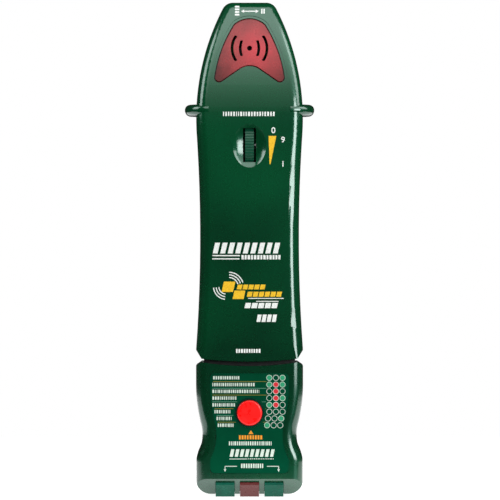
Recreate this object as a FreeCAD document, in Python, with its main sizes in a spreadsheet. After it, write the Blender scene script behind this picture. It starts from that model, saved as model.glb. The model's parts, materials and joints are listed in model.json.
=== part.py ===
import FreeCAD, Part
import math
import operator
import os
from types import SimpleNamespace

import Sketcher
from FreeCAD import Placement, Rotation, Vector

# Circuit breaker finder: a receiver wand docked on the plug of its transmitter.
# Millimetres. X runs to the right, -Y out of the front face and Z up the wand to its tip.
# The origin is under the middle of the object, where the transmitter stands.

DIMENSIONS = (
    # the whole object
    ("overall_height", 217.0, "window bottoms to tip"),
    ("front_depth", 17.4, "middle plane to front face"),
    ("back_depth", 19.0, "middle plane to back face"),
    ("parting_depth", 1.0, "plane where front and rear shells meet"),
    ("wall", 2.2, "shell thickness"),
    ("edge_round", 4.5, "rounding of the long front and rear edges"),
    ("fit_gap", 0.3, "gap round a piece let into a shell"),
    ("slip_gap", 0.05, "gap round a piece pushed into another"),
    # receiver outline
    ("tip_round", 5.0, "corners at the tip"),
    ("shoulder_round", 107.6, "bowed flanks above the waist"),
    ("shoulder_height", 158.5, "where the flanks turn outward"),
    ("waist_round", 668.0, "hollow flanks"),
    ("waist_half", 21.6, "half-width at the waist"),
    ("waist_height", 113.5, "height of the waist"),
    ("foot_height", 64.5, "where the foot starts to narrow"),
    ("foot_half", 21.0, "half-width at the foot"),
    ("foot_low", 60.6, "foot corners"),
    ("foot_round", 184.0, "bowed underside"),
    ("crease_height", 67.5, "line where the face turns back over the foot"),
    ("crease_fall", 0.2, "how far the face falls back at the foot"),
    ("nose_height", 154.0, "where the front face starts to slope back"),
    ("nose_round", 150.0, "slope of the front face"),
    ("nape_height", 147.0, "where the back face starts to slope forward"),
    ("nape_round", 377.0, "slope of the back face"),
    # hand guards
    ("guard_half", 28.4, "middle plane to the guard's rim"),
    ("guard_height", 169.4, "middle of the guard"),
    ("guard_thick", 4.8, "guard thickness"),
    ("guard_rim", 2.3, "rounding of the rim"),
    # lens
    ("lens_top", 207.2, "where the crown meets the sides"),
    ("lens_top_half", 6.9, "half-width of the crown"),
    ("lens_crown_round", 10.2, "crown"),
    ("lens_side_round", 60.0, "sides"),
    ("lens_side_half", 15.45, "widest half-width"),
    ("lens_side_low", 183.9, "height of the widest place"),
    ("lens_horn_round", 2.2, "rounded horns"),
    ("lens_horn_half", 11.94, "inner end of a horn"),
    ("lens_horn_low", 181.8, "height of a horn's inner end"),
    ("lens_arch_half", 4.5, "half-width of the arch under the lens"),
    ("lens_arch_low", 187.0, "where the arch starts"),
    ("lens_arch_round", 7.3, "arch"),
    ("lens_flange", 1.3, "rim behind the shell"),
    ("lens_gap", 0.5, "open joint round the lens"),
    ("lens_step", 1.1, "width of the step round the lens"),
    ("step_depth", 0.25, "depth of that step"),
    ("sound_height", 196.5, "middle of the sound holes"),
    ("sound_hole", 1.1, "radius of the middle hole"),
    ("sound_slot", 0.6, "half the width of a curved slot"),
    ("sound_bow", 9.6, "bow of the slots"),
    ("sound_inner", 4.05, "middle hole to the inner pair of slots"),
    ("sound_inner_reach", 3.2, "half their height without the round ends"),
    ("sound_outer", 7.65, "middle hole to the outer pair of slots"),
    ("sound_outer_reach", 5.2, "half their height without the round ends"),
    # sensitivity wheel
    ("wheel_height", 153.9, "wheel axis"),
    ("wheel_back", 10.0, "wheel axis behind the front face"),
    ("wheel_radius", 10.0, "outer radius"),
    ("wheel_half", 1.9, "half the width"),
    ("wheel_slot_half", 2.85, "half the width of its slot"),
    ("wheel_slot_reach", 7.45, "half the height of its slot"),
    ("wheel_shaft", 1.5, "shaft radius"),
    ("dish_half", 9.0, "dish: half-width of the ellipsoid"),
    ("dish_reach", 12.0, "dish: half-height of the ellipsoid"),
    ("dish_deep", 6.0, "dish: depth of the ellipsoid"),
    ("dish_proud", 3.5, "dish centre in front of the face"),
    ("dish_wall", 1.5, "wall behind the dish"),
    # transmitter outline
    ("base_top", 57.4, "lowest point of the hollow top edge"),
    ("base_top_half", 21.0, "half-width of the top edge"),
    ("base_top_round", 130.5, "hollow top edge"),
    ("base_half", 23.4, "half-width below the top edge"),
    ("base_shoulder", 57.5, "top of the straight flanks"),
    ("base_bow_height", 49.8, "where the flanks start to bow in"),
    ("base_bow_round", 74.0, "bow of the flanks"),
    ("base_flare_round", 17.5, "hollow above the waist"),
    ("base_waist_height", 27.33, "height of the waist"),
    ("base_hip_round", 16.0, "hollow below the waist"),
    ("base_skirt_round", 10.7, "bow of the skirt"),
    ("base_skirt_height", 15.6, "where the skirt turns straight"),
    ("base_corner", 6.3, "bottom corners"),
    ("base_floor", 1.2, "underside above the surface it stands on"),
    ("bevel_height", 8.1, "top of the bevel at the bottom of the face"),
    ("bevel_depth", 8.0, "how far back the bevel runs"),
    # label and button
    ("label_margin", 6.0, "label edge inside the outline"),
    ("label_top", 54.4, "top of the label"),
    ("label_low", 10.5, "bottom of the label"),
    ("label_corner", 2.2, "label corners"),
    ("label_recess", 0.5, "depth of the label's recess"),
    ("label_thick", 0.35, "label thickness"),
    ("button_height", 37.0, "button axis"),
    ("button_radius", 5.5, "cap radius"),
    ("button_proud", 1.6, "cap in front of the face"),
    ("button_flange", 6.5, "radius of the flange that keeps it in"),
    ("button_travel", 1.5, "how far it presses"),
    # windows
    ("window_pitch", 10.7, "middle window to side window"),
    ("window_half", 4.15, "half-width"),
    ("window_high", 6.5, "top edge"),
    ("window_front", 16.1, "front edge in front of the middle plane"),
    ("window_back", 12.0, "rear edge behind the middle plane"),
    # mains plug
    ("blade_plane", 4.0, "blade line in front of the middle plane"),
    ("blade_pitch", 12.7, "blade to blade"),
    ("blade_wide", 6.35, "blade width"),
    ("blade_thick", 1.5, "blade thickness"),
    ("blade_low", 50.0, "lower end inside the transmitter"),
    ("blade_tip", 76.5, "blade tip"),
    ("ground_offset", 11.9, "blade line to ground pin"),
    ("ground_radius", 2.375, "ground pin radius"),
    ("ground_tip", 79.7, "ground pin tip"),
    # battery
    ("battery_half", 13.25, "half-width"),
    ("battery_front", -0.9, "front face"),
    ("battery_deep", 17.5, "front face to back face"),
    ("battery_low", 86.0, "bottom"),
    ("battery_tall", 46.4, "height without terminals"),
    ("terminal_tall", 2.8, "terminals"),
    ("terminal_half", 6.35, "middle plane to a terminal"),
    ("door_half", 15.15, "half-width of the battery door"),
    ("door_low", 84.2, "bottom of the door"),
    ("door_high", 137.4, "top of the door"),
    ("door_thick", 2.0, "door thickness"),
    ("door_gap", 0.25, "gap round the door"),
    # boards and screws
    ("board_thick", 1.6, "circuit boards"),
    ("receiver_board", -2.0, "front face of the receiver board"),
    ("receiver_board_half", 13.0, "half-width"),
    ("receiver_board_low", 139.5, "lower edge"),
    ("receiver_board_high", 201.0, "upper edge"),
    ("base_board", -4.0, "front face of the transmitter board"),
    ("base_board_half", 15.0, "half-width"),
    ("base_board_low", 9.0, "lower edge"),
    ("base_board_high", 49.0, "upper edge"),
    ("screw_shank", 1.2, "case screw shank radius"),
    ("screw_head", 2.5, "case screw head radius"),
    ("screw_boss", 3.0, "case screw boss radius"),
    ("small_shank", 0.8, "board screw shank radius"),
    ("small_head", 1.7, "board screw head radius"),
    ("small_post", 2.1, "board post radius"),
)

OUT = 40.0  # reach of a cutting block beyond the object
SPARE = 10.0  # how far an outline runs on past the end that another cuts
SIDES = (-1, 1)
OPERATIONS = {"+": operator.add, "-": operator.sub, "*": operator.mul, "/": operator.truediv}
TURNS = {"X": Rotation(Vector(0, 1, 0), 90), "Y": Rotation(Vector(1, 0, 0), -90), "Z": Rotation()}
ACROSS = {"X": "yz", "Y": "xz", "Z": "xy"}
PLANES = {"X": "YZ_Plane", "Y": "XZ_Plane", "Z": "XY_Plane"}
LOOSE_PLANES = {"X": Rotation(Vector(1, 1, 1), 120), "Y": Rotation(Vector(1, 0, 0), 90)}

doc = FreeCAD.newDocument("circuit_breaker_finder")
nodes = []


# ---------------------------------------------------------------- sizes and the sheet


class Size:
    """A number together with the sheet formula that gives it."""

    def __init__(self, number, formula=None):
        self.number = float(number)
        self.formula = formula or f"({self.number!r})"

    def __add__(self, other):
        return worked("+", self, other)

    def __radd__(self, other):
        return worked("+", other, self)

    def __sub__(self, other):
        return worked("-", self, other)

    def __rsub__(self, other):
        return worked("-", other, self)

    def __mul__(self, other):
        return worked("*", self, other)

    def __rmul__(self, other):
        return worked("*", other, self)

    def __truediv__(self, other):
        return worked("/", self, other)

    def __neg__(self):
        return worked("-", 0.0, self)


def sized(value):
    return value if isinstance(value, Size) else Size(value)


def worked(sign, left, right):
    left, right = sized(left), sized(right)
    number = OPERATIONS[sign](left.number, right.number)
    return Size(number, f"({left.formula} {sign} {right.formula})")


def root(size):
    return Size(math.sqrt(size.number), f"sqrt({size.formula})")


def leg(longest, other):
    """The third side of a right-angled triangle."""
    return root(longest * longest - other * other)


def fill_sheet():
    """Put the driving dimensions in the sheet and return them by name."""
    sheet = doc.addObject("Spreadsheet::Sheet", "Dims")
    for row, (alias, number, meaning) in enumerate(DIMENSIONS, start=1):
        sheet.set(f"A{row}", alias)
        sheet.set(f"B{row}", str(number))
        sheet.set(f"C{row}", meaning)
        sheet.setAlias(f"B{row}", alias)
    doc.recompute()
    return SimpleNamespace(**{alias: Size(number, f"Dims.{alias}") for alias, number, _ in DIMENSIONS})


def bind(thing, path, size):
    thing.setExpression(path, sized(size).formula)


# ---------------------------------------------------------------- drawing


def arc(start, end, turn):
    """Arc from start to end, shorter than a half-turn, and whether it runs anticlockwise."""
    way, radius = turn
    reach = Vector(end[0].number - start[0].number, end[1].number - start[1].number, 0)
    middle = Vector(start[0].number, start[1].number, 0) + reach / 2
    rise = math.sqrt(max(radius.number**2 - (reach.Length / 2) ** 2, 0.0))
    sign = 1 if way == "left" else -1
    centre = middle + Vector(-reach.y, reach.x, 0).normalize() * (sign * rise)
    first, last = (start, end) if sign > 0 else (end, start)
    angles = [math.atan2(p[1].number - centre.y, p[0].number - centre.x) for p in (first, last)]
    if angles[1] < angles[0]:
        angles[1] += 2 * math.pi
    circle = Part.Circle(centre, Vector(0, 0, 1), radius.number)
    return Part.ArcOfCircle(circle, *angles), sign > 0


def hold(sketch, kind, element, point, size):
    """Add a dimension to a sketch and bind it to the sheet."""
    size = sized(size)
    at = (element,) if point is None else (element, point)
    index = sketch.addConstraint(Sketcher.Constraint(kind, *at, size.number))
    sketch.setExpression(f"Constraints[{index}]", size.formula)


def draw_circle(sketch, centre, radius):
    across, up, radius = sized(centre[0]), sized(centre[1]), sized(radius)
    middle = Vector(across.number, up.number, 0)
    index = sketch.addGeometry(Part.Circle(middle, Vector(0, 0, 1), radius.number))
    hold(sketch, "DistanceX", index, 3, across)
    hold(sketch, "DistanceY", index, 3, up)
    hold(sketch, "Radius", index, None, radius)


def draw_loop(sketch, corners, closed=True):
    """Draw corners (x, y) or (x, y, turn), where turn shapes the edge that leaves the corner."""
    points = [(sized(c[0]), sized(c[1]), c[2] if len(c) > 2 else None) for c in corners]
    edges = []
    for index in range(len(points) if closed else len(points) - 1):
        start, end = points[index], points[(index + 1) % len(points)]
        if start[2] is None:
            shape = Part.LineSegment(*[Vector(p[0].number, p[1].number, 0) for p in (start, end)])
            forward = True
        else:
            shape, forward = arc(start, end, start[2])
        edges.append((sketch.addGeometry(shape), (1, 2) if forward else (2, 1)))
    for index, (element, ends) in enumerate(edges):
        hold(sketch, "DistanceX", element, ends[0], points[index][0])
        hold(sketch, "DistanceY", element, ends[0], points[index][1])
        if points[index][2] is not None:
            hold(sketch, "Radius", element, None, points[index][2][1])
        if closed or index + 1 < len(edges):
            after, after_ends = edges[(index + 1) % len(edges)]
            sketch.addConstraint(Sketcher.Constraint("Coincident", element, ends[1], after, after_ends[0]))
    if not closed:
        last, ends = edges[-1]
        hold(sketch, "DistanceX", last, ends[1], points[-1][0])
        hold(sketch, "DistanceY", last, ends[1], points[-1][1])


def draw(sketch, shapes):
    for shape in shapes:
        if isinstance(shape, SimpleNamespace):
            draw_circle(sketch, shape.centre, shape.radius)
        else:
            draw_loop(sketch, shape)


def circle(across, up, radius):
    return SimpleNamespace(centre=(across, up), radius=radius)


def rectangle(across, up):
    (left, right), (low, high) = across, up
    return [(left, low), (right, low), (right, high), (left, high)]


def right(radius):
    return ("right", sized(radius))


def left(radius):
    return ("left", sized(radius))


def mirrored(corners, closing=None):
    """Close a right-hand outline, listed from the top down, with its mirror image."""
    turns = [closing] + [corner[2] for corner in corners]
    other = [(-sized(x), z, turns[i]) for i, (x, z, _) in enumerate(corners)]
    return list(corners) + other[::-1]


# ---------------------------------------------------------------- solids


def attach(body, name, axis, offset):
    """Sketch on the body's own plane across an axis."""
    sketch = body.newObject("Sketcher::SketchObject", name)
    plane = [feature for feature in body.Origin.OriginFeatures if feature.Role == PLANES[axis]][0]
    sketch.AttachmentSupport = [(plane, "")]
    sketch.MapMode = "FlatFace"
    bind(sketch, "AttachmentOffset.Base.z", offset)
    return sketch


def prism(name, axis, span, *shapes):
    """Body padded along an axis between the two ends of its span."""
    low, high = span
    body = doc.addObject("PartDesign::Body", name)
    sketch = attach(body, f"{name}_sketch", axis, -sized(high) if axis == "Y" else low)
    draw(sketch, shapes)
    pad = body.newObject("PartDesign::Pad", f"{name}_pad")
    pad.Profile = sketch
    bind(pad, "Length", high - sized(low))
    return body


def place(thing, axis, centre, along):
    """Turn a thing made along Z to an axis, and bind its place."""
    thing.Placement = Placement(Vector(), TURNS[axis])
    for direction, size in zip(ACROSS[axis] + axis.lower(), (*centre, along)):
        bind(thing, f"Placement.Base.{direction}", size)


def turned(name, axis, centre, profile):
    """Body turned about an axis; a profile point is (radius, place along the axis)."""
    body = doc.addObject("PartDesign::Body", name)
    sketch = attach(body, f"{name}_sketch", "Y", 0.0)
    draw(sketch, [profile])
    revolution = body.newObject("PartDesign::Revolution", f"{name}_revolution")
    revolution.Profile = sketch
    revolution.ReferenceAxis = (sketch, ["V_Axis"])
    revolution.Angle = 360.0
    place(body, axis, centre, 0.0)
    return body


def block(name, across, deep, tall):
    box = doc.addObject("Part::Box", name)
    spans = zip(("Length", "Width", "Height"), "xyz", (across, deep, tall))
    for side, axis, (low, high) in spans:
        bind(box, side, high - sized(low))
        bind(box, f"Placement.Base.{axis}", low)
    return box


def rod(name, axis, centre, radius, span):
    cylinder = doc.addObject("Part::Cylinder", name)
    bind(cylinder, "Radius", radius)
    bind(cylinder, "Height", span[1] - sized(span[0]))
    place(cylinder, axis, centre, span[0])
    return cylinder


def fuse(name, *pieces):
    union = doc.addObject("Part::MultiFuse", name)
    union.Shapes = list(pieces)
    return union


def cut(name, base, *tools):
    """Take the tools away from the base."""
    result = doc.addObject("Part::Cut", name)
    result.Base = base
    result.Tool = tools[0] if len(tools) == 1 else fuse(f"{name}_tools", *tools)
    return result


def common(name, base, tool):
    result = doc.addObject("Part::Common", name)
    result.Base = base
    result.Tool = tool
    return result


def group(name, pieces):
    compound = doc.addObject("Part::Compound", name)
    compound.Links = list(pieces)
    return compound


def rounded(name, source, radius, wanted):
    """Round the wanted edges of a solid."""
    doc.recompute()
    body = doc.addObject("PartDesign::Body", name)
    body.BaseFeature = source
    doc.recompute()
    fillet = body.newObject("PartDesign::Fillet", f"{name}_fillet")
    edges = [f"Edge{n}" for n, edge in enumerate(source.Shape.Edges, start=1) if wanted(edge)]
    fillet.Base = (body.Group[0], edges)
    bind(fillet, "Radius", radius)
    return body


def runs_along(edge, axis):
    """Whether an edge is a straight run along an axis."""
    box = edge.BoundBox
    lengths = {"X": box.XLength, "Y": box.YLength, "Z": box.ZLength}
    return lengths.pop(axis) > 1e-3 and max(lengths.values()) < 1e-3


def node(name, piece):
    """Keep a finished piece under the name of its file."""
    piece.Label = name
    nodes.append(piece)
    return piece


def inset(sketch, distance):
    """A sketch's outline drawn in by a distance, or out by a negative one."""
    if sized(distance).number == 0:
        return sketch
    offset = doc.addObject("Part::Offset2D", f"{sketch.Name}_inset")
    offset.Source = sketch
    bind(offset, "Value", -sized(distance))
    return offset


def extruded(outline, axis):
    """Extrude an outline right through the object."""
    extrusion = doc.addObject("Part::Extrusion", f"{outline.Name}_through")
    extrusion.Base = outline
    extrusion.DirMode = "Custom"
    extrusion.Dir = {"X": Vector(1, 0, 0), "Y": Vector(0, 1, 0)}[axis]
    extrusion.LengthFwd = OUT
    extrusion.LengthRev = OUT
    extrusion.Solid = True
    return extrusion


def loose_sketch(name, axis, shape):
    """Sketch on the middle plane across an axis, outside any body."""
    sketch = doc.addObject("Sketcher::SketchObject", name)
    sketch.Placement = Placement(Vector(), LOOSE_PLANES[axis])
    draw(sketch, [shape])
    return sketch


def front_half(name):
    return block(name, (-OUT, OUT), (-OUT, D.parting_depth), (-OUT, D.overall_height + OUT))


def rear_half(name):
    return block(name, (-OUT, OUT), (D.parting_depth, OUT), (-OUT, D.overall_height + OUT))


D = fill_sheet()
FRONT = -D.front_depth
BACK = D.back_depth


# ---------------------------------------------------------------- receiver forms


def receiver_outline():
    waist_x = D.waist_half + D.waist_round
    shoulder_x = waist_x - leg(D.waist_round, D.shoulder_height - D.waist_height)
    lean = D.shoulder_round / D.waist_round
    bow_x = shoulder_x + (shoulder_x - waist_x) * lean
    bow_z = D.shoulder_height + (D.shoulder_height - D.waist_height) * lean
    reach = D.shoulder_round - D.tip_round
    tip_z = D.overall_height - D.tip_round
    tip_x = bow_x + leg(reach, tip_z - bow_z)
    out = D.tip_round / reach
    low = D.foot_low - SPARE
    return mirrored(
        [
            (tip_x, D.overall_height, right(D.tip_round)),
            (tip_x + (tip_x - bow_x) * out, tip_z + (tip_z - bow_z) * out, right(D.shoulder_round)),
            (shoulder_x, D.shoulder_height, left(D.waist_round)),
            (waist_x - leg(D.waist_round, D.waist_height - low), low, None),
        ]
    )


def foot_outline():
    """Region above the narrowed foot, wider than the receiver everywhere else."""
    waist_x = D.waist_half + D.waist_round
    edge_x = waist_x - leg(D.waist_round, D.waist_height - D.foot_height)
    slope = (D.foot_height - D.foot_low) / (edge_x - D.foot_half)
    return mirrored(
        [
            (OUT, D.overall_height + OUT, None),
            (OUT, D.foot_low + (OUT - D.foot_half) * slope, None),
            (D.foot_half, D.foot_low, right(D.foot_round)),
        ]
    )


def receiver_profile():
    low, high = D.foot_low - SPARE, D.overall_height + SPARE
    front = FRONT + D.nose_round - leg(D.nose_round, high - D.nose_height)
    back = BACK - D.nape_round + leg(D.nape_round, high - D.nape_height)
    return [
        (FRONT, low),
        (FRONT, D.nose_height, right(D.nose_round)),
        (front, high),
        (back, high, right(D.nape_round)),
        (BACK, D.nape_height),
        (BACK, low),
    ]


def is_long_edge(edge):
    """Whether an edge borders the front or rear face, apart from the bottom or top edge."""
    return not runs_along(edge, "Y") and edge.BoundBox.XLength < D.foot_half.number


def receiver_form(name, distance):
    """The receiver's solid form, drawn in by a distance, with its long edges rounded."""
    outline = extruded(inset(sketches.receiver, distance), "Y")
    profile = extruded(inset(sketches.receiver_side, distance), "X")
    raw = common(f"{name}_raw", outline, profile)
    smooth = rounded(f"{name}_smooth", raw, D.edge_round - distance, is_long_edge)
    return common(name, smooth, extruded(inset(sketches.foot, distance), "Y"))


def foot_crease():
    """Wedge that turns the face back over the foot."""
    drop = D.crease_height - (D.foot_low - D.crease_fall)
    slope = D.crease_fall / drop
    low = D.foot_low - SPARE
    return prism(
        "foot_crease",
        "X",
        (-OUT, OUT),
        [(FRONT, D.crease_height), (FRONT + (D.crease_height - low) * slope, low), (FRONT - 5, low)],
    )


def guard(name, side):
    """One hand guard: a plate with a round rim, whose ends run square into the receiver."""
    start_x, end_x = 17.9, 19.5
    start_y, low_y, high_y, end_y = -16.9, -6.4, 5.0, 18.6
    share = 0.3  # how far the ends run in towards the middle of their arcs
    front_round = guard_arc(D.guard_half - start_x, low_y - start_y)
    rear_round = guard_arc(D.guard_half - end_x, end_y - high_y)
    bend = left if side > 0 else right
    inner_start = start_x + (D.guard_half - front_round - start_x) * share
    inner_end = end_x + (D.guard_half - rear_round - end_x) * share
    corners = [
        (side * sized(start_x), start_y, bend(front_round)),
        (side * D.guard_half, low_y, None),
        (side * D.guard_half, high_y, bend(rear_round)),
        (side * sized(end_x), end_y, None),
        (side * inner_end, end_y + (high_y - end_y) * share, None),
        (side * inner_start, start_y + (low_y - start_y) * share, None),
    ]
    half = D.guard_thick / 2
    plate = prism(f"{name}_plate", "Z", (D.guard_height - half, D.guard_height + half), corners)

    def is_rim(edge):
        return edge.BoundBox.ZLength < 1e-3 and abs(edge.CenterOfMass.x) > end_x + 1

    return rounded(name, plate, D.guard_rim, is_rim)


def guard_arc(out, along):
    """Radius of an arc that ends square after going out and along."""
    return (out * out + sized(along) * along) / (2 * out)


def lens_outline(grow):
    """Outline of the lens, drawn out by grow."""
    return mirrored(
        [
            (D.lens_top_half + grow * 0.68, D.lens_top + grow * 0.74, right(D.lens_side_round + grow)),
            (D.lens_side_half + grow, D.lens_side_low, right(D.lens_horn_round + grow)),
            (D.lens_horn_half - grow * 0.64, D.lens_horn_low - grow * 0.77, None),
            (D.lens_arch_half - grow * 0.6, D.lens_arch_low - grow * 0.8, left(D.lens_arch_round - grow)),
        ],
        closing=right(D.lens_crown_round + grow),
    )


def sound_slot(place, reach, side):
    """Bowed slot beside the middle sound hole, with round ends."""
    outer, inner = D.sound_bow + D.sound_slot, D.sound_bow - D.sound_slot
    centre = place - D.sound_bow
    outer_x, inner_x = side * (centre + leg(outer, reach)), side * (centre + leg(inner, reach))
    low, high = D.sound_height - reach, D.sound_height + reach
    along, against = (left, right) if side > 0 else (right, left)
    end = along(D.sound_slot * 1.3)
    return [
        (outer_x, low, along(outer)),
        (outer_x, high, end),
        (inner_x, high, against(inner)),
        (inner_x, low, end),
    ]


def lens_window():
    """Red lens: a plate flush with the shell, with a rim behind it and holes for the sound."""
    front = (-OUT, -1.0)
    plug = prism("lens_plug", "Y", front, lens_outline(-D.lens_gap))
    plate = common("lens_plate", plug, forms.outer)
    rim = common("lens_rim", prism("lens_rim_plug", "Y", front, lens_outline(D.lens_flange)), forms.inner)
    hollow = common(
        "lens_hollow", prism("lens_hollow_plug", "Y", front, lens_outline(-1.4)), forms.inner
    )
    holes = [circle(0.0, D.sound_height, D.sound_hole)]
    for side in SIDES:
        holes.append(sound_slot(D.sound_inner, D.sound_inner_reach, side))
        holes.append(sound_slot(D.sound_outer, D.sound_outer_reach, side))
    drilled = prism("sound_holes", "Y", front, *holes)
    node("lens_window", cut("lens", fuse("lens_body", plate, rim), forms.deep, hollow, drilled))


# ---------------------------------------------------------------- receiver shells

CASE_SCREW_X = 17.0
CASE_SCREW_LOW = 72.0
CASE_SCREW_HIGH = 172.0
CASE_SCREWS = [(side * CASE_SCREW_X, z) for side in SIDES for z in (CASE_SCREW_LOW, CASE_SCREW_HIGH)]
BOARD_SCREWS = [(side * 10.5, z) for side in SIDES for z in (143.5, 176.5)]
HEAD_SEAT = 15.0  # depth at which case screw heads sit, from the middle plane
DOCK_HALF = 13.0
DOCK_FRONT = -10.0
DOCK_BACK = 13.0
TRAY_HALF = 16.2
TRAY_INNER = 13.8
TRAY_LOW = 83.2
TRAY_HIGH = 138.6


def bosses(name, places, radius, span):
    return fuse(name, *[rod(f"{name}_{i}", "Y", place, radius, span) for i, place in enumerate(places)])


def dock_opening(name):
    gap = 0.2
    return block(
        name,
        (-DOCK_HALF - gap, DOCK_HALF + gap),
        (DOCK_FRONT - gap, DOCK_BACK + gap),
        (D.foot_low - 5, D.foot_low + 4),
    )


def dish(name, wall):
    """Thumb dish round the wheel, or the wall behind it."""
    bowl = doc.addObject("Part::Ellipsoid", name)
    bind(bowl, "Radius1", D.dish_reach + wall)
    bind(bowl, "Radius2", D.dish_half + wall)
    bind(bowl, "Radius3", D.dish_deep + wall)
    bind(bowl, "Placement.Base.y", FRONT - D.dish_proud)
    bind(bowl, "Placement.Base.z", D.wheel_height)
    return bowl


def receiver_front_shell():
    hull = common("receiver_front_hull", hulls.receiver, front_half("receiver_front_half"))
    features = fuse(
        "receiver_front_features",
        dish("dish_wall", D.dish_wall),
        bosses("receiver_front_boss", CASE_SCREWS, D.screw_boss, (-OUT, D.parting_depth)),
        bosses("receiver_post", BOARD_SCREWS, D.small_post, (-OUT, D.receiver_board)),
    )
    inside = common("receiver_front_inside", features, forms.skin)
    shell = fuse("receiver_front_solid", hull, inside)
    pilot = D.screw_shank + D.slip_gap
    small_pilot = D.small_shank + D.slip_gap
    slot = block(
        "wheel_slot",
        (-D.wheel_slot_half, D.wheel_slot_half),
        (-OUT, -10.0),
        (D.wheel_height - D.wheel_slot_reach, D.wheel_height + D.wheel_slot_reach),
    )
    step = prism("lens_step_plug", "Y", (-OUT, 0.0), lens_outline(D.lens_step))
    holes = (
        prism("lens_opening", "Y", (-OUT, 0.0), lens_outline(0.0)),
        cut("lens_step", step, forms.step),
        dish("dish_hollow", 0.0),
        slot,
        bosses("receiver_pilot", CASE_SCREWS, pilot, (-8.0, OUT)),
        bosses("receiver_post_pilot", BOARD_SCREWS, small_pilot, (-7.0, OUT)),
        dock_opening("dock_opening_front"),
    )
    node("receiver_front_shell", cut("receiver_front", shell, *holes))


def battery_well(name):
    """Room for the battery, open to the back."""
    return block(
        name,
        (-TRAY_INNER, TRAY_INNER),
        (D.battery_front - 0.3, OUT),
        (D.battery_low - 0.4, TRAY_HIGH - 1.6),
    )


def battery_tray():
    floor = D.battery_front - 1.3
    outer = block("tray_outer", (-TRAY_HALF, TRAY_HALF), (floor, BACK - 1), (TRAY_LOW, TRAY_HIGH))
    return cut("battery_tray", outer, battery_well("tray_inner"))


def coil_cradle(name, side):
    """Rib with a saddle for one end of the pickup coil's core."""
    middle = side * 7.9
    rib = block(f"{name}_rib", (middle - 0.8, middle + 0.8), (2.0, 13.4), (205.0, 211.5))
    saddle = rod(f"{name}_saddle", "X", (CORE_Y, CORE_Z), CORE_RADIUS + D.slip_gap, (-OUT, OUT))
    return cut(name, rib, saddle)


def receiver_rear_shell():
    hull = common("receiver_rear_hull", hulls.receiver, rear_half("receiver_rear_half"))
    boss_span = (D.parting_depth, BACK - 1)
    features = fuse(
        "receiver_rear_features",
        bosses("receiver_rear_boss", CASE_SCREWS, D.screw_boss + 0.3, boss_span),
        coil_cradle("cradle_left", -1),
        coil_cradle("cradle_right", 1),
    )
    inside = common("receiver_rear_inside", features, forms.skin)
    shell = fuse("receiver_rear_solid", hull, inside, battery_tray())
    mouth = block(
        "door_opening",
        (-D.door_half - D.door_gap, D.door_half + D.door_gap),
        (BACK - D.door_thick, OUT),
        (D.door_low - D.door_gap, D.door_high + D.door_gap),
    )
    slots = [
        block(f"contact_slot_{n}", (x - 1.3, x + 1.3), (1.3, 2.9), (TRAY_HIGH - 2, TRAY_HIGH + 1))
        for n, x in enumerate((-D.terminal_half, D.terminal_half))
    ]
    holes = (
        mouth,
        battery_well("tray_well"),
        *slots,
        bosses("receiver_clear", CASE_SCREWS, D.screw_shank + 0.15, (-OUT, OUT)),
        bosses("receiver_seat", CASE_SCREWS, D.screw_head + 0.2, (HEAD_SEAT, OUT)),
        dock_opening("dock_opening_rear"),
    )
    node("receiver_rear_shell", cut("receiver_rear", shell, *holes))


def screw(name, axis_place, head, shank, seat, tip, head_tall):
    """Pan-head screw along Y with a cross recess, its head to the back."""
    x, z = axis_place
    body = turned(
        f"{name}_turned",
        "Y",
        (x, z),
        [
            (0.0, tip),
            (shank * 0.5, tip),
            (shank, tip + 1.2),
            (shank, seat),
            (head, seat),
            (head, seat + head_tall * 0.55),
            (head * 0.75, seat + head_tall),
            (0.0, seat + head_tall),
        ],
    )
    slot_half, slot_reach = head * 0.12, head * 0.55
    floor = seat + head_tall * 0.45
    bars = [
        block(f"{name}_bar_{n}", (x - a, x + a), (floor, floor + OUT), (z - b, z + b))
        for n, (a, b) in enumerate(((slot_half, slot_reach), (slot_reach, slot_half)))
    ]
    return cut(name, body, *bars)


def screws(name, places, head, shank, seat, tip, head_tall):
    made = [screw(f"{name}_{n}", p, head, shank, seat, tip, head_tall) for n, p in enumerate(places)]
    node(name, group(name, made))


# ---------------------------------------------------------------- receiver internals

CORE_Y = 2.75
CORE_Z = 208.0
CORE_RADIUS = 2.0
CORE_HALF = 9.0
COIL_HALF = 5.0
COIL_RADIUS = 4.4
BUZZER_Z = 192.0
LED_PLACES = [(side * 10.5, 186.5) for side in SIDES]
POT_SPAN = (3.0, 9.0)


def wheel_axis():
    return (FRONT + D.wheel_back, D.wheel_height)


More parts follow.
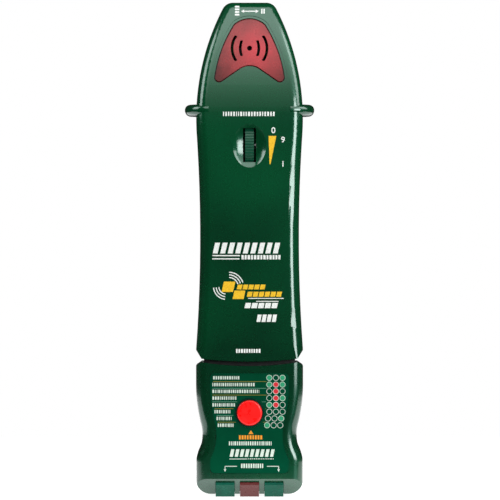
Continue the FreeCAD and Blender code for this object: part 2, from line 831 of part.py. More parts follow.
def thumbwheel():
    """Wheel with a knurled rim and a coin-shaped hub."""
    teeth = 48
    body = doc.addObject("PartDesign::Body", "thumbwheel_body")
    sketch = attach(body, "wheel_sketch", "X", -D.wheel_half)
    draw(sketch, [circle(0.0, 0.0, D.wheel_radius), circle(0.0, 0.0, D.wheel_shaft + D.slip_gap)])
    pad = body.newObject("PartDesign::Pad", "wheel_pad")
    pad.Profile = sketch
    bind(pad, "Length", D.wheel_half * 2)
    notch_sketch = attach(body, "notch_sketch", "X", -D.wheel_half)
    draw(notch_sketch, [circle(D.wheel_radius + 0.05, 0.0, 0.38)])
    doc.recompute()
    notch = body.newObject("PartDesign::Pocket", "wheel_notch")
    notch.Profile = notch_sketch
    notch.Type = "Length"
    notch.Reversed = True
    bind(notch, "Length", D.wheel_half * 2)
    doc.recompute()
    pattern = body.newObject("PartDesign::PolarPattern", "wheel_knurl")
    pattern.Originals = [notch]
    pattern.Axis = (notch_sketch, ["N_Axis"])
    pattern.Angle = 360.0
    pattern.Occurrences = teeth
    body.Tip = pattern
    bind(body, "Placement.Base.y", wheel_axis()[0])
    bind(body, "Placement.Base.z", wheel_axis()[1])
    node("thumbwheel", body)
    shaft = rod("wheel_shaft", "X", wheel_axis(), D.wheel_shaft, (-D.wheel_half, POT_SPAN[1] - 0.4))
    node("wheel_shaft", shaft)


def pot_body():
    body = block("pot_block", POT_SPAN, (-12.8, D.receiver_board), (149.0, 159.0))
    bore = rod("pot_bore", "X", wheel_axis(), D.wheel_shaft + D.slip_gap, (-OUT, POT_SPAN[1] - 0.2))
    node("pot_body", cut("pot", body, bore))


def receiver_board():
    slot_half, slot_low, slot_high = 2.6, 144.7, 163.1
    drill = D.small_shank + 0.1
    face = D.receiver_board
    board = prism(
        "receiver_board_body",
        "Y",
        (face, face + D.board_thick),
        rectangle(
            (-D.receiver_board_half, D.receiver_board_half), (D.receiver_board_low, D.receiver_board_high)
        ),
        rectangle((-slot_half, slot_half), (slot_low, slot_high)),
        *[circle(x, z, drill) for x, z in BOARD_SCREWS],
    )
    node("receiver_board", board)


def buzzer():
    radius, tall, port, rim = 7.0, 5.0, 1.2, 0.6
    seat = D.receiver_board
    front = seat - tall
    profile = [
        (0.0, seat),
        (radius, seat),
        (radius, front + rim),
        (radius - rim, front),
        (port, front),
        (port, front + 1.2),
        (0.0, front + 1.2),
    ]
    node("buzzer", turned("buzzer_body", "Y", (0.0, BUZZER_Z), profile))


def lamp(name, place, axis, radius, seat, tip):
    """Round lamp with a domed tip and a flange at its seat."""
    way = 1 if sized(tip).number > sized(seat).number else -1
    dome = tip - way * sized(radius)
    turn = (left, right) if way > 0 else (right, left)
    profile = [
        (0.0, seat),
        (radius + 0.3, seat),
        (radius + 0.3, seat + way * 0.9),
        (radius, seat + way * 0.9),
        (radius, dome, turn[0](radius)),
        (0.0, tip),
    ]
    return turned(name, axis, place, profile)


def indicator_leds():
    lamps = [
        lamp(f"indicator_{n}", place, "Y", 1.5, D.receiver_board, D.receiver_board - 5)
        for n, place in enumerate(LED_PLACES)
    ]
    node("indicator_leds", group("indicator_leds", lamps))


def pickup_coil():
    """Ferrite core in its bobbin, with the winding between the flanges."""
    axis_place = (CORE_Y, CORE_Z)
    core = rod("core", "X", axis_place, CORE_RADIUS, (-CORE_HALF, CORE_HALF))
    node("sensor_core", core)
    sleeve = 2.6
    flange, thick = 5.4, 0.9
    profile = [
        (CORE_RADIUS + D.slip_gap, -COIL_HALF - thick),
        (flange, -COIL_HALF - thick),
        (flange, -COIL_HALF),
        (sleeve, -COIL_HALF),
        (sleeve, COIL_HALF),
        (flange, COIL_HALF),
        (flange, COIL_HALF + thick),
        (CORE_RADIUS + D.slip_gap, COIL_HALF + thick),
    ]
    node("sensor_bobbin", turned("bobbin", "X", axis_place, profile))
    winding = [
        (sleeve + D.slip_gap, -COIL_HALF + D.slip_gap),
        (COIL_RADIUS, -COIL_HALF + D.slip_gap),
        (COIL_RADIUS, COIL_HALF - D.slip_gap),
        (sleeve + D.slip_gap, COIL_HALF - D.slip_gap),
    ]
    node("sensor_winding", turned("winding", "X", axis_place, winding))


def chip(name, middle, face, pins):
    """Surface-mount chip on the rear face of a board, with a row of pins on each side."""
    x, z = middle
    pitch, body_half, tall, reach = 1.27, 1.95, 1.5, 3.0
    length = pins * pitch / 2 + 0.2
    body = block(
        f"{name}_body", (x - body_half, x + body_half), (face + 0.1, face + tall), (z - length, z + length)
    )
    legs = [
        block(
            f"{name}_pin_{n}",
            (x - reach, x + reach),
            (face, face + 0.3),
            (z + (n - (pins - 1) / 2) * pitch - 0.2, z + (n - (pins - 1) / 2) * pitch + 0.2),
        )
        for n in range(pins)
    ]
    return fuse(name, body, *legs)


def chips(name, face, places):
    made = [chip(f"{name}_{n}", (x, z), face, pins) for n, (x, z, pins) in enumerate(places)]
    node(name, group(name, made))


def resistors(name, face, places):
    """Axial resistors lying along Z on the rear face of a board."""
    radius, neck, half = 0.9, 0.7, 2.6
    made = []
    for n, (x, z) in enumerate(places):
        profile = [
            (0.0, z - half),
            (radius, z - half),
            (radius, z - half + 1.1),
            (neck, z - half + 1.5),
            (neck, z + half - 1.5),
            (radius, z + half - 1.1),
            (radius, z + half),
            (0.0, z + half),
        ]
        made.append(turned(f"{name}_{n}", "Z", (x, face + radius + 0.02), profile))
    node(name, group(name, made))


def can(name, place, radius, face, tall):
    """Electrolytic capacitor standing on a board, with the groove of its seal."""
    profile = [
        (0.0, face),
        (radius, face),
        (radius, face + 1.0),
        (radius - 0.25, face + 1.3),
        (radius, face + 1.6),
        (radius, face + tall - 0.3),
        (radius - 0.3, face + tall),
        (0.0, face + tall),
    ]
    return turned(name, "Y", place, profile)


def receiver_parts():
    rear = D.receiver_board + D.board_thick
    chips("receiver_chips", rear, ((0.0, 170.5, 7), (-0.5, 183.0, 4)))
    cans = [
        can(f"receiver_can_{n}", place, 2.5, rear, 7.0)
        for n, place in enumerate(((-8.0, 166.5), (8.0, 166.5), (9.0, 194.5)))
    ]
    node("receiver_capacitors", group("receiver_capacitors", cans))
    resistors("receiver_resistors", rear, ((-10.6, 186.0), (-7.6, 186.0), (-4.6, 192.0), (6.0, 184.0)))


def dock_socket():
    """Socket in the foot that parks the plug: two blade slots and a ground hole."""
    high = 82.5
    seat = D.foot_low + 2.6
    body = block("dock_body", (-DOCK_HALF, DOCK_HALF), (DOCK_FRONT, DOCK_BACK), (D.foot_low - 0.6, high))
    rim = block("dock_rim", (-16.0, 16.0), (-12.4, 14.8), (seat, seat + 2))
    room = 0.45
    blades = [
        block(
            f"dock_slot_{n}",
            (x - D.blade_thick / 2 - room, x + D.blade_thick / 2 + room),
            (-D.blade_plane - D.blade_wide / 2 - room, -D.blade_plane + D.blade_wide / 2 + room),
            (0.0, D.blade_tip + 1.5),
        )
        for n, x in enumerate((-D.blade_pitch / 2, D.blade_pitch / 2))
    ]
    ground = rod(
        "dock_ground",
        "Z",
        (0.0, D.ground_offset - D.blade_plane),
        D.ground_radius + room,
        (0.0, D.ground_tip + 1.2),
    )
    node("dock_socket", cut("dock", fuse("dock_solid", body, rim), *blades, ground))


# ---------------------------------------------------------------- battery


def battery():
    low, high = D.battery_low, D.battery_low + D.battery_tall
    back = D.battery_front + D.battery_deep
    outline = rectangle((-D.battery_half, D.battery_half), (D.battery_front, back))
    can_body = prism("battery_block", "Z", (low, high), outline)
    node("battery_case", rounded("battery_round", can_body, 1.6, lambda edge: runs_along(edge, "Z")))
    middle = D.battery_front + D.battery_deep / 2
    stud, snap = 2.9, 3.8
    top = high + D.terminal_tall
    plus = turned(
        "plus_stud",
        "Z",
        (D.terminal_half, middle),
        [
            (0.0, high),
            (stud - 0.3, high),
            (stud - 0.3, top - 1.2),
            (stud, top - 1.2),
            (stud, top),
            (0.0, top),
        ],
    )
    minus = turned(
        "minus_stud",
        "Z",
        (-D.terminal_half, middle),
        [
            (0.0, high),
            (snap - 0.6, high),
            (snap, top),
            (snap - 0.7, top),
            (snap - 0.9, top - 2),
            (0.0, top - 2),
        ],
    )
    node("battery_terminals", group("battery_terminals", (plus, minus)))
    return middle


def battery_contacts(middle):
    """Spring forks that hold the terminals and open to the back, so that the battery lifts out."""
    level = D.battery_low + D.battery_tall + 1.0
    base_y, base_end, prong_end = 1.4, 3.0, middle + 2.8
    made = []
    for n, (x, half) in enumerate(((-D.terminal_half, 4.1), (D.terminal_half, 3.2))):
        wide = 0.9
        flat = prism(
            f"fork_{n}",
            "Z",
            (level, level + 0.6),
            [
                (x - half - wide, base_y),
                (x + half + wide, base_y),
                (x + half + wide, prong_end),
                (x + half, prong_end),
                (x + half, base_end),
                (x - half, base_end),
                (x - half, prong_end),
                (x - half - wide, prong_end),
            ],
        )
        tail = block(f"fork_tail_{n}", (x - 1.0, x + 1.0), (1.6, 2.4), (level, TRAY_HIGH + 0.8))
        made.append(fuse(f"contact_{n}", flat, tail))
    node("battery_contacts", group("battery_contacts", made))


def battery_leads():
    """Short leads from the contact tails, up and over to the board."""
    start_y, start_z, bend = 2.0, TRAY_HIGH + 0.8, 2.0
    rear = D.receiver_board + D.board_thick
    made = []
    for n, x in enumerate((-D.terminal_half, D.terminal_half)):
        body = doc.addObject("PartDesign::Body", f"lead_{n}")
        path = attach(body, f"lead_path_{n}", "X", x)
        top = start_z + 2.2
        draw_loop(
            path,
            [
                (start_y, start_z),
                (start_y, top, left(bend)),
                (start_y - bend, top + bend),
                (rear, top + bend),
            ],
            closed=False,
        )
        ring = attach(body, f"lead_ring_{n}", "Z", start_z)
        draw(ring, [circle(x, start_y, 0.65)])
        pipe = body.newObject("PartDesign::AdditivePipe", f"lead_pipe_{n}")
        pipe.Profile = ring
        pipe.Spine = path
        made.append(body)
    node("battery_leads", group("battery_leads", made))


def battery_door():
    """Flush door with finger grooves and a snap tongue that tucks under the shell."""
    inner = BACK - D.door_thick
    plate = block("door_plate", (-D.door_half, D.door_half), (inner, BACK), (D.door_low, D.door_high))
    tongue = block("door_tongue", (-1.7, 1.7), (inner - 4, inner), (D.door_high - 1.9, D.door_high - 1.0))
    groove_half, groove_wide, pitch, first = 7.0, 0.9, 2.0, D.door_high - 14
    grooves = [
        rod(
            f"door_groove_{n}",
            "X",
            (BACK + 0.25, first + n * pitch),
            groove_wide,
            (-groove_half + abs(n - 2) * 1.2, groove_half - abs(n - 2) * 1.2),
        )
        for n in range(5)
    ]
    node("battery_door", cut("door", fuse("door_body", plate, tongue), *grooves))


# ---------------------------------------------------------------- transmitter


def transmitter_outline():
    flank_x = D.base_half - D.base_bow_round
    reach = D.base_bow_round + D.base_flare_round
    drop = D.base_bow_height - D.base_waist_height
    flare_x = flank_x + leg(reach, drop)
    share = D.base_bow_round / reach
    waist_x = flare_x - D.base_flare_round
    hip_x = waist_x + D.base_hip_round
    hip_reach = D.base_hip_round + D.base_skirt_round
    rise = D.base_waist_height - D.base_skirt_height
    skirt_x = hip_x - leg(hip_reach, rise)
    hip_share = D.base_hip_round / hip_reach
    edge_x = skirt_x + D.base_skirt_round
    return mirrored(
        [
            (D.base_half, D.base_shoulder + SPARE, None),
            (D.base_half, D.base_bow_height, right(D.base_bow_round)),
            (
                flank_x + (flare_x - flank_x) * share,
                D.base_bow_height - drop * share,
                left(D.base_flare_round),
            ),
            (waist_x, D.base_waist_height, left(D.base_hip_round)),
            (
                hip_x - (hip_x - skirt_x) * hip_share,
                D.base_waist_height - rise * hip_share,
                right(D.base_skirt_round),
            ),
            (edge_x, D.base_skirt_height, None),
            (edge_x, D.base_floor - SPARE, None),
        ]
    ), edge_x


def transmitter_ends(edge_x):
    """Region between the hollow top edge and the underside with its round corners."""
    top = D.base_top + D.base_top_round - leg(D.base_top_round, D.base_top_half)
    slope = (top - D.base_shoulder) / (D.base_half - D.base_top_half)
    return mirrored(
        [
            (D.base_top_half, top, None),
            (OUT, top - (OUT - D.base_top_half) * slope, None),
            (OUT, D.base_floor + D.base_corner, None),
            (edge_x, D.base_floor + D.base_corner, right(D.base_corner)),
            (edge_x - D.base_corner, D.base_floor, None),
        ],
        closing=left(D.base_top_round),
    )


def slab(name, distance):
    """Block between the front and back faces, drawn in by a distance."""
    return block(name, (-OUT, OUT), (FRONT + distance, BACK - distance), (-OUT, D.overall_height))


def bevel(name, distance):
    """Wedge under the slope at the bottom of the face, drawn in by a distance."""
    fall = D.bevel_height - D.base_floor
    slant = root(D.bevel_depth * D.bevel_depth + fall * fall)
    back, up = distance * fall / slant, distance * D.bevel_depth / slant
    steep = fall / D.bevel_depth
    reach = 14.0
    return prism(
        name,
        "X",
        (-OUT, OUT),
        [
            (FRONT - reach + back, D.bevel_height + up + steep * reach),
            (FRONT - reach + back, -OUT),
            (FRONT + D.bevel_depth + reach + back, D.base_floor + up - steep * reach - OUT),
            (FRONT + D.bevel_depth + reach + back, D.base_floor + up - steep * reach),
        ],
    )


def transmitter_form(name, distance):
    """The transmitter's solid form, drawn in by a distance, with its long edges rounded."""
    outline = extruded(inset(sketches.transmitter, distance), "Y")
    raw = common(f"{name}_raw", outline, slab(f"{name}_slab", distance))
    smooth = rounded(f"{name}_smooth", raw, D.edge_round - distance, is_long_edge)
    ended = common(f"{name}_ended", smooth, extruded(inset(sketches.transmitter_ends, distance), "Y"))
    return cut(name, ended, bevel(f"{name}_bevel", sized(distance)))


def label_region(name, gap, depth):
    """Waisted plate that follows the outline, in the recess of the front face."""
    outline = extruded(inset(sketches.transmitter, D.label_margin + gap), "Y")
    window = block(f"{name}_window", (-OUT, OUT), depth, (D.label_low + gap, D.label_top - gap))
    plate = common(f"{name}_plate", outline, window)
    return rounded(name, plate, D.label_corner, lambda edge: runs_along(edge, "Y"))


BASE_SCREWS = [(side * 18.2, z) for side in SIDES for z in (14.0, 47.5)]
BASE_BOARD_SCREWS = [(side * 11.8, z) for side in SIDES for z in (17.5, 44.5)]
PLUG_HALF = 20.0
PLUG_FRONT = -11.0
PLUG_BACK = 14.0
PLUG_LOW = 52.0


def window_places():
    return (
        ("green_window_left", -D.window_pitch),
        ("red_window_middle", 0.0),
        ("green_window_right", D.window_pitch),
    )


def window_block(name, x, gap):
    return block(
        name,
        (x - D.window_half - gap, x + D.window_half + gap),
        (-D.window_front - gap, D.window_back + gap),
        (-OUT, D.window_high + gap),
    )


def windows():
    skin = cut("window_skin", base_forms.proud, base_forms.deep)
    for name, x in window_places():
        node(name, common(f"{name}_lens", skin, window_block(f"{name}_block", x, 0.0)))


def button_axis():
    return (0.0, D.button_height)


def transmitter_front_shell():
    hull = common("base_front_hull", hulls.transmitter, front_half("base_front_half"))
    features = fuse(
        "base_front_features",
        bosses("base_front_boss", BASE_SCREWS, D.screw_boss, (-OUT, D.parting_depth)),
        bosses("base_post", BASE_BOARD_SCREWS, D.small_post, (-OUT, D.base_board)),
    )
    shell = fuse("base_front_solid", hull, common("base_front_inside", features, base_forms.outer))
    holes = (
        label_region("label_recess", 0.0, (-OUT, FRONT + D.label_recess)),
        rod("button_hole", "Y", button_axis(), D.button_radius + 0.2, (-OUT, -12.0)),
        bosses("base_pilot", BASE_SCREWS, D.screw_shank + D.slip_gap, (-8.0, OUT)),
        bosses("base_post_pilot", BASE_BOARD_SCREWS, D.small_shank + D.slip_gap, (-9.0, OUT)),
        plug_opening("plug_opening_front"),
        *[window_block(f"window_hole_front_{n}", x, 0.1) for n, (_, x) in enumerate(window_places())],
    )
    node("transmitter_front_shell", cut("base_front", shell, *holes))


def plug_opening(name):
    gap = 0.1
    return block(
        name,
        (-PLUG_HALF - gap, PLUG_HALF + gap),
        (PLUG_FRONT - gap, PLUG_BACK + gap),
        (D.base_top - 4, D.base_top + 6),
    )


def transmitter_rear_shell():
    hull = common("base_rear_hull", hulls.transmitter, rear_half("base_rear_half"))
    boss_span = (D.parting_depth, BACK - 1)
    features = bosses("base_rear_boss", BASE_SCREWS, D.screw_boss + 0.3, boss_span)
    shell = fuse("base_rear_solid", hull, common("base_rear_inside", features, base_forms.outer))
    holes = (
        bosses("base_clear", BASE_SCREWS, D.screw_shank + 0.15, (-OUT, OUT)),
        bosses("base_seat", BASE_SCREWS, D.screw_head + 0.2, (HEAD_SEAT, OUT)),
        plug_opening("plug_opening_rear"),
        *[window_block(f"window_hole_rear_{n}", x, 0.1) for n, (_, x) in enumerate(window_places())],
    )
    node("transmitter_rear_shell", cut("base_rear", shell, *holes))


def wiring_chart_label():
    front = FRONT + D.label_recess - D.label_thick
    plate = label_region("label_plate_round", 0.12, (front, FRONT + D.label_recess))
    hole = rod("label_hole", "Y", button_axis(), D.button_radius + 1.0, (-OUT, 0.0))
    node("wiring_chart_label", cut("label", plate, hole))


def plug_base():
    """Block under the blades, held by its rim, whose hollow top follows the receiver's foot."""
    play = 0.3
    rim_out = 1.0
    bow = D.foot_round + play
    edge = D.foot_low + leg(D.foot_round, D.foot_half) - leg(bow, PLUG_HALF)
    outline = [
        (PLUG_HALF, edge, right(bow)),
        (-PLUG_HALF, edge),
        (-PLUG_HALF, PLUG_LOW),
        (PLUG_HALF, PLUG_LOW),
    ]
    neck = prism("plug_neck", "Y", (PLUG_FRONT, PLUG_BACK), outline)
    rim = block(
        "plug_rim",
        (-PLUG_HALF - rim_out, PLUG_HALF + rim_out),
        (PLUG_FRONT - rim_out, PLUG_BACK + rim_out),
        (PLUG_LOW, PLUG_LOW + 2.4),
    )
    slots = [
        block(
            f"plug_slot_{n}",
            (x - D.blade_thick / 2 - D.slip_gap, x + D.blade_thick / 2 + D.slip_gap),
            (
                -D.blade_plane - D.blade_wide / 2 - D.slip_gap,
                -D.blade_plane + D.blade_wide / 2 + D.slip_gap,
            ),
            (0.0, OUT + OUT),
        )
        for n, x in enumerate((-D.blade_pitch / 2, D.blade_pitch / 2))
    ]
    hole = rod(
        "plug_hole",
        "Z",
        (0.0, D.ground_offset - D.blade_plane),
        D.ground_radius + D.slip_gap,
        (0.0, OUT + OUT),
    )
    node("plug_base", cut("plug", fuse("plug_solid", neck, rim), *slots, hole))


def blades():
    """Flat blades with a hole near the tip and a tab that is soldered behind the board."""
    front = -D.blade_plane - D.blade_wide / 2
    back = -D.blade_plane + D.blade_wide / 2
    tab_front = D.base_board + D.board_thick
    slope = 1.4
    for name, x in (("neutral_blade", -D.blade_pitch / 2), ("line_blade", D.blade_pitch / 2)):
        outline = [
            (front, D.blade_low),
            (tab_front, D.blade_low),
            (tab_front, D.blade_low - 5),
            (back, D.blade_low - 5),
            (back, D.blade_tip - slope),
            (back - slope, D.blade_tip),
            (front + slope, D.blade_tip),
            (front, D.blade_tip - slope),
        ]
        span = (x - D.blade_thick / 2, x + D.blade_thick / 2)
        hole = circle(-D.blade_plane, D.blade_tip - 4.2, 1.55)
        node(name, prism(f"{name}_body", "X", span, outline, hole))


def ground_pin():
    radius = D.ground_radius
    profile = [
        (0.0, D.blade_low),
        (radius, D.blade_low),
        (radius, D.ground_tip - radius, left(radius)),
        (0.0, D.ground_tip),
    ]
    centre = (0.0, D.ground_offset - D.blade_plane)
    node("ground_pin", turned("ground_pin_body", "Z", centre, profile))
    face = D.base_board + D.board_thick
    thick = 0.6
    high = D.blade_low
    outline = [
        (face, high - 5),
        (face + thick, high - 5),
        (face + thick, high - thick),
        (centre[1] + radius, high - thick),
        (centre[1] + radius, high),
        (face, high),
    ]
    node("ground_strap", prism("ground_strap_body", "X", (-1.6, 1.6), outline))


def transmitter_board():
    face = D.base_board
    board = prism(
        "transmitter_board_body",
        "Y",
        (face, face + D.board_thick),
        rectangle((-D.base_board_half, D.base_board_half), (D.base_board_low, D.base_board_high)),
        *[circle(x, z, D.small_shank + 0.1) for x, z in BASE_BOARD_SCREWS],
    )
    node("transmitter_board", board)


def transmitter_parts():
    rear = D.base_board + D.board_thick
    chips("transmitter_chips", rear, ((-8.5, 29.5, 4),))
    resistors("transmitter_resistors", rear, ((0.0, 14.0), (4.0, 14.0), (-4.0, 14.0), (12.2, 31.0)))
    film = prism("film_block", "Y", (rear, rear + 8.5), rectangle((-2.6, 10.4), (21.0, 38.0)))
    node(
        "suppression_capacitor",
        rounded("film_round", film, 0.8, lambda edge: runs_along(edge, "Y")),
    )
    lamps = [
        lamp(f"base_lamp_{n}", (x, D.base_board - 2.4), "Z", 1.8, 12.5, 6.4)
        for n, (_, x) in enumerate(window_places())
    ]
    node("transmitter_leds", group("transmitter_leds", lamps))


def test_button():
    """Cap with a flange and skirt, the plunger in it, and the spring that returns it."""
    cap, flange = D.button_radius, D.button_flange
    front = FRONT - D.button_proud
    flange_front = FRONT + D.wall + 0.3
    floor = flange_front + 1.0
    skirt_end = -11.0
    skirt_inner = 4.5
    crown = 0.8
    profile = [
        (0.0, front),
        (cap - crown, front, left(crown)),
        (cap, front + crown),
        (cap, flange_front),
        (flange, flange_front),
        (flange, floor),
        (cap, floor),
        (cap, skirt_end),
        (skirt_inner, skirt_end),
        (skirt_inner, floor),
        (0.0, floor),
    ]
    node("test_button", turned("button_cap", "Y", button_axis(), profile))
    plunger = 1.7
    tip = -7.2
    node("button_plunger", rod("plunger", "Y", button_axis(), plunger, (floor, tip)))
    switch_face = D.base_board - 5
    switch_half = 3.0
    switch = block(
        "switch_block",
        (-switch_half, switch_half),
        (switch_face, D.base_board),
        (D.button_height - switch_half, D.button_height + switch_half),
    )
    bore = rod("switch_bore", "Y", button_axis(), plunger + 0.1, (-OUT, tip + D.button_travel + 0.3))
    node("button_switch", cut("switch", switch, bore))
    node("button_spring", spring("button_coil", 3.7, 0.25, floor, switch_face))
    ring_in, ring_out = cap + 0.25, cap + 0.9
    ring = [
        (ring_in, FRONT),
        (ring_out, FRONT),
        (ring_out, FRONT + D.label_recess),
        (ring_in, FRONT + D.label_recess),
    ]
    node("button_bezel", turned("bezel_ring", "Y", button_axis(), ring))


SPRING_PLAY = 0.02


def spring(name, radius, wire, start, end):
    """Coil spring along Y between two faces that it just touches, as a run of short mitred lengths."""
    turns, lengths_a_turn = 3.5, 16
    lengths = int(turns * lengths_a_turn)
    low = sized(start).number + wire + SPRING_PLAY
    high = sized(end).number - wire - SPRING_PLAY
    points = []
    for n in range(lengths + 1):
        angle = 2 * math.pi * n / lengths_a_turn
        rise = (high - low) * n / lengths
        points.append(Vector(radius * math.cos(angle), radius * math.sin(angle), rise))
    section = Part.Wire(Part.makeCircle(wire, points[0], points[1] - points[0]))
    mitred = 1
    coil = doc.addObject("Part::Feature", name)
    coil.Shape = Part.makePolygon(points).makePipeShell([section], True, False, mitred)
    coil.Placement = Placement(Vector(0, low, D.button_height.number), TURNS["Y"])
    return coil


# ---------------------------------------------------------------- assembly


flanks, flank_x = transmitter_outline()
sketches = SimpleNamespace(
    receiver=loose_sketch("receiver_outline", "Y", receiver_outline()),
    receiver_side=loose_sketch("receiver_profile", "X", receiver_profile()),
    foot=loose_sketch("foot_outline", "Y", foot_outline()),
    transmitter=loose_sketch("transmitter_outline", "Y", flanks),
    transmitter_ends=loose_sketch("transmitter_ends", "Y", transmitter_ends(flank_x)),
)

forms = SimpleNamespace(
    outer=receiver_form("receiver_outer", 0.0),
    step=receiver_form("receiver_step", D.step_depth),
    inner=receiver_form("receiver_inner", D.wall),
    deep=receiver_form("receiver_deep", D.wall * 1.5),
)
forms.skin = cut("receiver_skin", forms.outer, foot_crease())
base_forms = SimpleNamespace(
    proud=transmitter_form("base_proud", -D.base_floor),
    outer=transmitter_form("base_outer", 0.0),
    inner=transmitter_form("base_inner", D.wall),
    deep=transmitter_form("base_deep", D.wall * 1.1),
)
guards = [guard("guard_left", -1), guard("guard_right", 1)]
hulls = SimpleNamespace(
    receiver=cut("receiver_hull", fuse("receiver_solid", forms.skin, *guards), forms.inner),
    transmitter=cut("transmitter_hull", base_forms.outer, base_forms.inner),
)

transmitter_front_shell()
transmitter_rear_shell()
wiring_chart_label()
windows()
plug_base()
blades()
ground_pin()
transmitter_board()
transmitter_parts()
test_button()
screws(
    "transmitter_case_screws", BASE_SCREWS, D.screw_head, D.screw_shank, sized(HEAD_SEAT), sized(-7.0), 2.0
)
screws(
    "transmitter_board_screws",
    BASE_BOARD_SCREWS,
    D.small_head,
    D.small_shank,
    D.base_board + D.board_thick,
    sized(-8.5),
    1.2,
)
receiver_front_shell()
receiver_rear_shell()
lens_window()
thumbwheel()
pot_body()
receiver_board()
buzzer()
indicator_leds()
pickup_coil()
receiver_parts()
dock_socket()
terminal_line = battery()
battery_contacts(terminal_line)
battery_leads()
battery_door()
screws("receiver_case_screws", CASE_SCREWS, D.screw_head, D.screw_shank, sized(HEAD_SEAT), sized(-7.0), 2.0)
screws(
    "receiver_board_screws",
    BOARD_SCREWS,
    D.small_head,
    D.small_shank,
    D.receiver_board + D.board_thick,
    sized(-6.5),
    1.2,
)
doc.recompute()

for thing in doc.Objects:
    if "Invalid" in thing.State or "Error" in thing.State:
        raise RuntimeError(f"{thing.Name} failed: {thing.State}")
for piece in nodes:
    if piece.Shape.isNull() or not piece.Shape.isValid():
        raise RuntimeError(f"{piece.Label} has no valid shape")

os.makedirs("parts", exist_ok=True)
for piece in nodes:
    piece.Shape.exportStep(f"parts/{piece.Label}.step")
    print(f"{piece.Label}: {len(piece.Shape.Solids)} solids, {piece.Shape.Volume:.1f} mm3")
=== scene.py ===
import json
import math
import random

import bmesh
import bpy
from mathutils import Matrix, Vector
from mathutils.bvhtree import BVHTree

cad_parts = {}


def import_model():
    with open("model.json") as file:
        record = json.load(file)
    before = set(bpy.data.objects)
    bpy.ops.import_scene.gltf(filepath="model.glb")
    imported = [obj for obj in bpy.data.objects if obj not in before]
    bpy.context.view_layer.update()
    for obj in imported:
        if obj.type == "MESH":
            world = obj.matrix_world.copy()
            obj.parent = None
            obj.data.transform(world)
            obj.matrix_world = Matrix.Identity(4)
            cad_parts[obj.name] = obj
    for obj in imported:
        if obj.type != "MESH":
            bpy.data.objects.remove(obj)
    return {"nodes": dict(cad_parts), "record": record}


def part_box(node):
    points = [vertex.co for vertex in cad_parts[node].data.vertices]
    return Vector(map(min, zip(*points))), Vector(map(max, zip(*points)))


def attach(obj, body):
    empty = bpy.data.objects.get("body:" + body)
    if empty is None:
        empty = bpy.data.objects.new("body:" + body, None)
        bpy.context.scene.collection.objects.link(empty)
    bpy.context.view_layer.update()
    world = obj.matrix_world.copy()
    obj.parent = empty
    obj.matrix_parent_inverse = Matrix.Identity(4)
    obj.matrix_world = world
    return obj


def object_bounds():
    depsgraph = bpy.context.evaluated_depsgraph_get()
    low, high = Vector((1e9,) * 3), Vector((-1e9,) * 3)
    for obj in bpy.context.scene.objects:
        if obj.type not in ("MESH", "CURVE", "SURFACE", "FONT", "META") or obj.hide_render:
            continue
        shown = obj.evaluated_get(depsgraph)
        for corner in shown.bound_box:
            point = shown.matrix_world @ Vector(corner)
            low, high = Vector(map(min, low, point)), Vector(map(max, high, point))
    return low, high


# Looks of a circuit breaker finder: a receiver wand docked on the plug of its transmitter.
# Sizes are in millimetres and turned into metres by MM, except in the studio, where they are in
# metres. X runs to the right, -Y out of the front face and Z up the wand.

MM = 0.001
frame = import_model()
CAD_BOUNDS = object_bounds()
NODES = frame["nodes"]
SLOT_OF = {part["node"]: part["material_slot"] for part in frame["record"]["subparts"]}


def middle(node):
    """Middle of a CAD node's box, in millimetres."""
    low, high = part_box(node)
    return (low + high) / 2 / MM


# ---------------------------------------------------------------- materials


